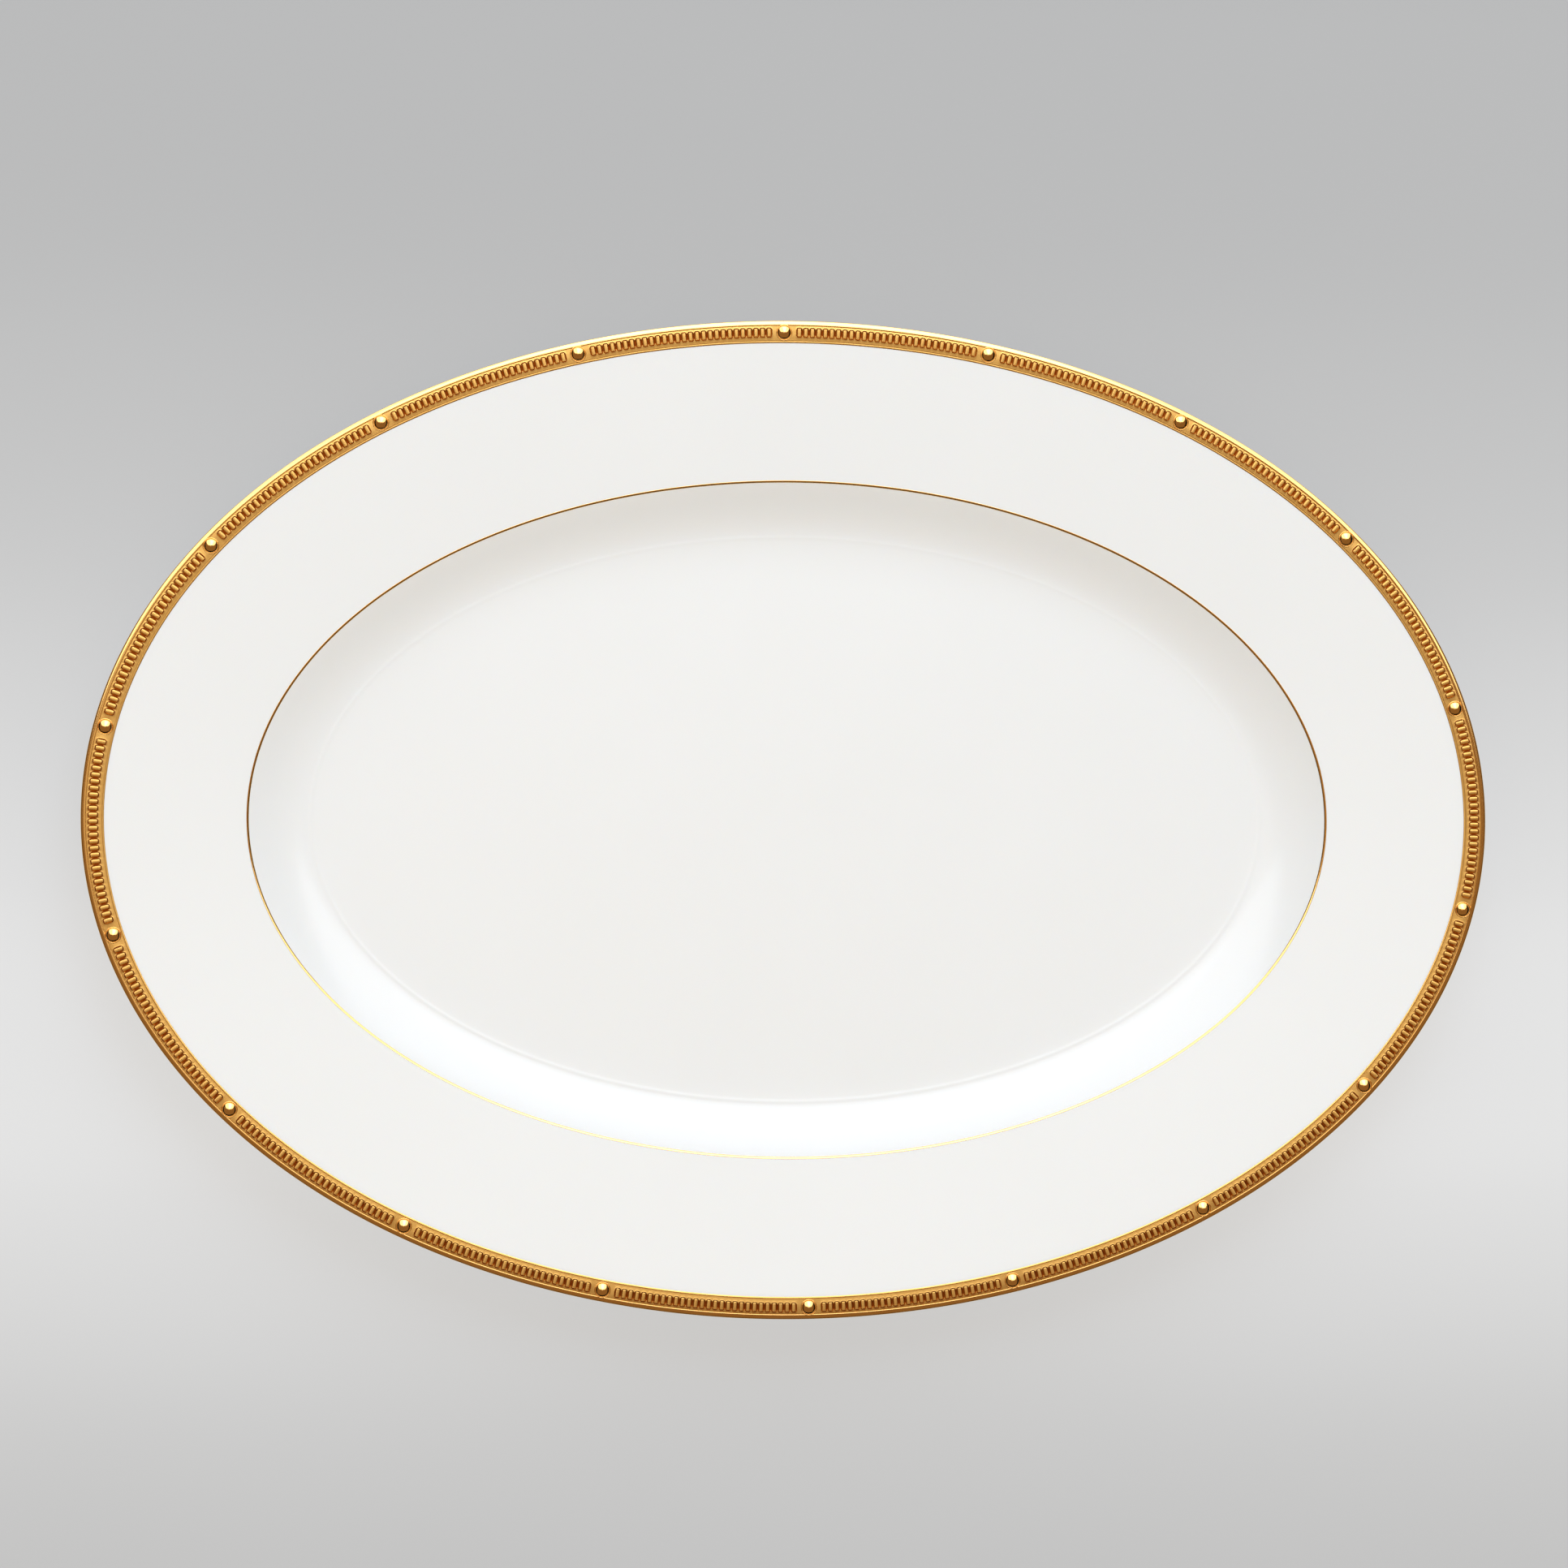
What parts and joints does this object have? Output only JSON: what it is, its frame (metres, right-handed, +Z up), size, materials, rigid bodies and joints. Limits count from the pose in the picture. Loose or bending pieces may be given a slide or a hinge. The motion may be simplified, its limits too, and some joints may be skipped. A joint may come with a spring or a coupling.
{
  "type": "oval serving platter",
  "caption": "Oval china serving platter with a flat wide rim, a shallow well, a gilded relief border of beads and links, and a thin gold line round the well.",
  "frame": {"origin": "bottom centre of the foot ring, on the surface the platter stands on", "axes": "+X along the oval's long side, +Y along its short side, +Z up out of the well"},
  "size_m": [0.4064, 0.2872, 0.0247],
  "materials": {
    "bone_china": "gloss",
    "burnished_gold": "polished",
    "relief_gold": "satin"
  },
  "bodies": {
    "root": {"china_body": "bone_china", "gilt_lip": "burnished_gold", "relief_band": "relief_gold", "inner_fillet": "burnished_gold", "verge_line": "burnished_gold", "bead_01": "burnished_gold", "bead_02": "burnished_gold", "bead_03": "burnished_gold", "bead_04": "burnished_gold", "bead_05": "burnished_gold", "bead_06": "burnished_gold", "bead_07": "burnished_gold", "bead_08": "burnished_gold", "bead_09": "burnished_gold", "bead_10": "burnished_gold", "bead_11": "burnished_gold", "bead_12": "burnished_gold", "bead_13": "burnished_gold", "bead_14": "burnished_gold", "bead_15": "burnished_gold", "bead_16": "burnished_gold", "bead_17": "burnished_gold", "bead_18": "burnished_gold", "link_run_01": "relief_gold", "link_run_02": "relief_gold", "link_run_03": "relief_gold", "link_run_04": "relief_gold", "link_run_05": "relief_gold", "link_run_06": "relief_gold", "link_run_07": "relief_gold", "link_run_08": "relief_gold", "link_run_09": "relief_gold", "link_run_10": "relief_gold", "link_run_11": "relief_gold", "link_run_12": "relief_gold", "link_run_13": "relief_gold", "link_run_14": "relief_gold", "link_run_15": "relief_gold", "link_run_16": "relief_gold", "link_run_17": "relief_gold", "link_run_18": "relief_gold"}
  },
  "joints": []
}
